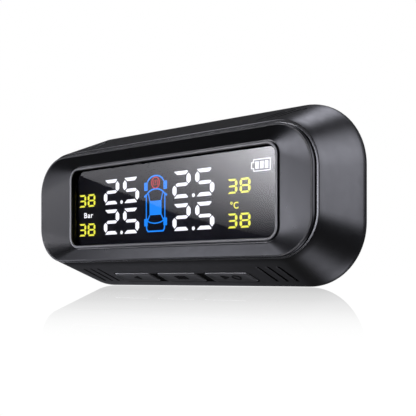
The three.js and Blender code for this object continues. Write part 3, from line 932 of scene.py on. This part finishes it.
def draw_pressures(sheet):
    width, height, pitch, dot_x = 6.6, 7.32, 8.25, 7.6
    for left in (-25.78, 2.09):
        for bottom in (0.45, -8.27):
            draw_digit(sheet, "2", left, bottom, width, height)
            draw_digit(sheet, "5", left + pitch, bottom, width, height)
            sheet.plate(disc(left + dot_x, bottom + 0.5, 0.52, 12))


def draw_temperatures(sheet):
    height = 3.77
    for left in (-36.7, 21.72):
        for bottom in (0.36, -8.34):
            draw_digit(sheet, "3", left - 0.5, bottom, 3.35, height)
            draw_digit(sheet, "8", left + 3.6, bottom, 3.45, height)


def disc(x, z, radius, sides):
    turns = [2 * math.pi * step / sides for step in range(sides)]
    return [(x + radius * math.cos(t), z + radius * math.sin(t)) for t in turns]


def arc_points(x, z, radius_x, radius_z, start, end, steps):
    turns = [math.radians(start + (end - start) * step / steps) for step in range(steps + 1)]
    return [(x + radius_x * math.cos(t), z + radius_z * math.sin(t)) for t in turns]


def draw_battery(sheet):
    """The battery's outline with its nub to the left, and three bars."""
    left, right, low, high = 29.75, 34.8, 5.4, 8.25
    nub_left, nub_low, nub_high = 29.05, 6.1, 7.55
    sheet.stroke([
        (left, nub_high), (left, high), (right, high), (right, low), (left, low), (left, nub_low),
        (nub_left, nub_low), (nub_left, nub_high)], 0.24, closed=True)
    for index in range(3):
        bar = 30.28 + index * 1.46
        sheet.plate(box_points(bar, bar + 1.0, 5.95, 7.7))


def draw_car(sheet):
    """A car seen from above, nose up: bumpers, wheels, doors, mirrors, windows and roof."""
    x, line = CAR_X, 0.42
    sheet.stroke(arc_points(x, 5.3, 3.15, 2.05, 12, 168, 16), line)
    for side in (-1, 1):
        wheel_x = x + side * 3.75
        for low, high in ((3.4, 5.7), (-6.5, -4.4)):
            sheet.plate(box_points(wheel_x - 0.66, wheel_x + 0.66, low, high), soften=0.18)
        for start, end, width in (
                ((4.35, 1.65), (3.75, 2.2), 0.5), ((3.6, 2.4), (3.6, -4.5), line * 0.85),
                ((2.75, 2.5), (2.2, 0.4), line * 0.7), ((2.25, -3.5), (3.05, -4.9), line * 0.8)):
            sheet.stroke([(x + side * across, z) for across, z in (start, end)], width)
    sheet.stroke(arc_points(x, 1.2, 3.75, 2.5, 25, 155, 16), line)
    sheet.plate(box_points(x - 2.3, x + 2.3, -3.5, 0.45))
    sheet.stroke(arc_points(x, -4.4, 3.5, 1.35, 200, 340, 12), line * 0.8)
    tail = ((-3.5, -6.5), (-3.4, -7.4), (-2.9, -7.95), (2.9, -7.95), (3.4, -7.4), (3.5, -6.5))
    sheet.stroke([(x + across, z) for across, z in tail], line)


def draw_tyre_warning(sheet):
    """A ringed tyre section with a warning mark, at the car's nose."""
    x, z = CAR_X, 5.4
    sheet.stroke(disc(x, z, 1.5, 28), 0.3, closed=True)
    sheet.stroke(arc_points(x + 0.15, z, 1.05, 0.85, 125, 235, 6), 0.2)
    sheet.stroke(arc_points(x - 0.15, z, 1.05, 0.85, -55, 55, 6), 0.2)
    sheet.plate(box_points(x - 0.12, x + 0.12, z - 0.15, z + 0.7))
    sheet.plate(disc(x, z - 0.55, 0.15, 8))


def make_label(name, text, left, bottom, cap_height, light, embolden, squeeze=1.0):
    """A unit label as a thin plate of plain letters."""
    curve = bpy.data.curves.new(name, "FONT")
    curve.body = text
    curve.size = cap_height / CAP_SHARE * MM
    curve.offset = embolden * MM
    curve.extrude = 0.03 * MM
    curve.resolution_u = 4
    curve.space_character = 1.12
    writing = add_object(name + "_text", curve)
    place = Matrix.Translation(Vector((left, y_at(sum(SEGMENT_DEPTH) / 2), bottom)) * MM)
    upright = Matrix.Rotation(math.pi / 2, 4, "X") @ Matrix.Diagonal((squeeze, 1, 1, 1))
    graph = bpy.context.evaluated_depsgraph_get()
    mesh = bpy.data.meshes.new_from_object(writing.evaluated_get(graph))
    mesh.transform(place @ upright)
    bpy.data.objects.remove(writing)
    finish_piece(add_object(name, mesh), light, "case", smooth=False)


def make_display():
    lens = make_slab("window_lens_pane", LENS_BOX, 4.3, 0.12, "lens", "window_lens")
    clear_back_faces(lens, "lens_back", -1)
    make_slab("lcd_glass", LCD_BOX, 0.8, 0.1, "lcd", "lcd_panel")
    for name, light, marks in (
            ("segments_white", "white_light", draw_pressures),
            ("segments_yellow", "yellow_light", draw_temperatures),
            ("segments_blue", "blue_light", draw_car),
            ("segments_red", "red_light", draw_tyre_warning),
            ("segments_battery", "soft_white_light", draw_battery)):
        sheet = Sheet()
        marks(sheet)
        sheet.make(name, light)
    make_label("label_pressure_unit", "Bar", -34.85, -2.87, 1.6, "white_light", 0.03, 1.25)
    make_label("label_temperature_unit", "°C", 22.2, -3.4, 1.75, "yellow_light", 0.04)


# ------------ carried-over nodes

CARRIED = {
    "board": ["main_board", "switch_board"],
    "chip": ["mcu_chip", "buzzer", "switch_left", "switch_mode", "switch_right"],
    "steel": ["receiver_module"],
    "copper": ["antenna_coil"],
    "battery": ["battery_cell"],
    "foam": ["battery_pad", "panel_gasket"],
    "seal": ["front_seal"],
    "light_plate": ["backlight_plate"],
    "red_wire": ["battery_lead_red"],
    "black_wire": ["battery_lead_black"],
    "white_plastic": [
        "display_frame", "display_connector", "plunger_left", "plunger_mode", "plunger_right"],
}


def dress_carried_nodes():
    for key, names in CARRIED.items():
        for name in names:
            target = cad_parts[name]
            target.data.materials.clear()
            target.data.materials.append(MATERIALS[key])


# ------------ studio

CAMERA_TURN = math.radians(41.218)
CAMERA_PLACE = Vector((146.764, FRONT_Y - 145.966, -20.7)) * MM
CAMERA_LENS = 66.943
CAMERA_SHIFT = (-0.0012, 0.167)
CARD_DISTANCE, GRADIENT_DISTANCE = 0.7, 0.6
CARD_COLOUR = (0.88, 0.885, 1.0)
# Each card's name, azimuth, elevation, half width and half height in degrees, and strength
SOFT_CARDS = (
    ("right_back_box", 120, 23, 27, 32, 5.6),
    ("top_back_box", -168, 54, 12, 13, 3.9),
    ("upper_left_box", -75, 49, 22, 13, 3.5),
    ("left_box", -66, 0, 13, 14, 9.0),
    ("front_box", -12, 2, 19.5, 19, 3.8),
    ("low_back_glow", 170, -50, 17, 19, 2.0),
    ("under_left_glow", -126, -26, 18, 21, 0.22),
    ("button_glow", -134, -15, 14, 10.5, 0.6),
)
MIRROR_REACH = (0.08, 0.2)  # metres from the object's middle
MIRROR_FADE = ((0.0, 0.37), (0.51, 0.27), (0.725, 0.16), (0.84, 0.065), (0.91, 0.02), (0.97, 0.0))


def make_camera():
    data = bpy.data.cameras.new("camera")
    data.sensor_width = 36
    data.lens = CAMERA_LENS
    data.shift_x, data.shift_y = CAMERA_SHIFT
    data.clip_start = 0.005
    data.clip_end = 20
    camera = add_object("camera", data)
    camera.location = CAMERA_PLACE
    camera.rotation_euler = (math.pi / 2, 0, CAMERA_TURN)
    bpy.context.scene.camera = camera


def card_face(name, corners, material):
    """A flat light card: it lights the object but is never seen straight."""
    bm = bmesh.new()
    bm.faces.new([bm.verts.new(point) for point in corners])
    card = new_object(name, bm)
    card.data.materials.append(material)
    card.visible_camera = False
    card.visible_shadow = False
    return card


def end_card_material(tree, colour, level):
    """The glow lights the object, and the floor's sharp mirror looks straight through it."""
    glow = node(tree, "Emission", Color=(*colour, 1))
    clear = node(tree, "BsdfTransparent")
    seen = node(tree, "LightPath")
    link(level, glow.inputs["Strength"])
    end_material(tree, mix_shaders(
        tree, seen.outputs["Is Singular Ray"], glow.outputs["Emission"], clear.outputs["BSDF"]))


def soft_card(name, azimuth, elevation, half_width, half_height, strength):
    """A soft box round the object: angles in degrees, azimuth from the front towards the right."""
    turn, rise = math.radians(azimuth), math.radians(elevation)
    towards = Vector((math.cos(rise) * math.sin(turn), -math.cos(rise) * math.cos(turn), math.sin(rise)))
    sideways = Vector((math.cos(turn), math.sin(turn), 0))
    across = sideways * CARD_DISTANCE * math.tan(math.radians(half_width))
    upward = towards.cross(across).normalized() * CARD_DISTANCE * math.tan(math.radians(half_height))
    centre = towards * CARD_DISTANCE
    corners = [centre + across * x + upward * z for x, z in ((-1, -1), (1, -1), (1, 1), (-1, 1))]
    material, tree = empty_material(name + "_glow")
    place = node(tree, "TexCoord")
    offset = compute_vector(tree, "SUBTRACT", place.outputs["Object"], centre)
    fades = []
    for direction, full in ((across, strength), (upward, 1.0)):
        along = compute_vector(tree, "DOT_PRODUCT", offset, direction / direction.length_squared, "Value")
        fades.append(spread(tree, compute(tree, "MULTIPLY", along, along), full, 0.0))
    end_card_material(tree, CARD_COLOUR, compute(tree, "MULTIPLY", *fades))
    card_face(name, corners, material)


def make_world():
    """White to the camera and in the floor's sharp mirror; to the object a soft room, darker below."""
    world = bpy.data.worlds.new("studio")
    world.use_nodes = True
    tree = world.node_tree
    tree.nodes.clear()
    height = spread(tree, axes(tree, "Generated")["Z"], 0.0, 1.0, -1.0, 1.0)
    room = ramp(tree, height, [
        (0.0, (0.08, 0.08, 0.08)), (0.35, (0.03, 0.03, 0.032)), (0.5, (0.03, 0.03, 0.032)),
        (1.0, (0.1, 0.1, 0.105))])
    seen = node(tree, "LightPath")
    white = compute(tree, "MAXIMUM", seen.outputs["Is Camera Ray"], seen.outputs["Is Singular Ray"])
    backdrop = node(tree, "Background")
    output = node(tree, "OutputWorld")
    link(mix_colours(tree, white, room, (1, 1, 1)), backdrop.inputs["Color"])
    link(backdrop.outputs["Background"], output.inputs["Surface"])
    bpy.context.scene.world = world


def make_floor():
    """A white floor that mirrors the object faintly, fading out round it, and is clear from below."""
    bm = bmesh.new()
    half, below = 6.0, 0.02 * MM
    corners = [(-half, -half), (half, -half), (half, half), (-half, half)]
    bm.faces.new([bm.verts.new((x, y, FLOOR_Z - below)) for x, y in corners])
    floor = new_object("floor", bm)
    material, tree = empty_material("floor_gloss")
    glow = node(tree, "Emission", Strength=1.01)
    mirror = node(tree, "BsdfGlossy", Color=(1, 1, 1, 1), Roughness=0.0)
    clear = node(tree, "BsdfTransparent")
    side = node(tree, "NewGeometry")
    place = node(tree, "TexCoord")
    level = compute_vector(tree, "MULTIPLY", place.outputs["Object"], (1.0, 1.0, 0.0))
    distance = compute_vector(tree, "LENGTH", level, result="Value")
    reach = spread(tree, distance, 0.0, 1.0, *MIRROR_REACH)
    share = ramp(tree, reach, [(position, (value,) * 3) for position, value in MIRROR_FADE])
    above = mix_shaders(tree, share, glow.outputs["Emission"], mirror.outputs["BSDF"])
    end_material(tree, mix_shaders(tree, side.outputs["Backfacing"], above, clear.outputs["BSDF"]))
    floor.data.materials.append(material)
    floor.visible_glossy = False
    floor.visible_diffuse = False
    floor.visible_shadow = False


def make_gradient_card():
    """A soft card left of the camera, which the lens mirrors, brightest at its upper right."""
    mirror_y = LENS_BOX[0].y
    image_of_camera = Vector((CAMERA_PLACE.x, 2 * mirror_y - CAMERA_PLACE.y, CAMERA_PLACE.z))
    card_y = mirror_y - GRADIENT_DISTANCE

    def mirrored(x, z):
        """Where the camera sees, in the lens at x and z millimetres, a point of the card's plane."""
        point = Vector((x * MM, mirror_y, z * MM))
        ray = point - image_of_camera
        return image_of_camera + ray * ((card_y - image_of_camera.y) / ray.y)

    corners = [mirrored(x, z) for x, z in (
        (-37.5, 10.6), (3.4, -3.4), (36.4, -11.5), (42, -11.5), (42, 16), (-50, 16))]
    material, tree = empty_material("gradient_glow")
    place = axes(tree)
    low, high = mirrored(-38, -11), mirrored(38, 11)
    across = spread(tree, place["X"], 0.0, 1.0, low.x, high.x)
    upward = spread(tree, place["Z"], 0.02, 1.02, low.z, high.z)
    sideways = compute(tree, "ADD", compute(tree, "POWER", across, 3.5), 0.12)
    rise = compute(tree, "POWER", upward, 1.35)
    level = compute(tree, "MULTIPLY", compute(tree, "MULTIPLY", sideways, rise), 19.0)
    end_card_material(tree, (0.955, 0.945, 1.0), level)
    card = card_face("gradient_card", corners, material)
    card.visible_diffuse = False


def make_studio():
    make_world()
    make_floor()
    make_gradient_card()
    for card in SOFT_CARDS:
        soft_card(*card)
    bpy.context.scene.view_settings.view_transform = "Standard"


# ------------ build

make_housing()
make_bezel()
make_display()
make_rear_cover()
make_slab("solar_panel_glass", PANEL_BOX, 1.2, 0.1, "solar", "solar_panel")
film = make_slab("gel_film", FILM_BOX, 5.0, 0.35, "film", "adhesive_film")
clear_back_faces(film, "film_back", 1)
for number in SCREW_NUMBERS:
    make_screw(f"rear_screw_{number}_pan", f"rear_screw_{number}")
    make_screw(f"board_screw_{number}_pan", f"board_screw_{number}")
make_usb_socket()
for button_name, button_index in (("left", -1), ("mode", 0), ("right", 1)):
    make_button(button_name, button_index)
dress_carried_nodes()
make_camera()
make_studio()
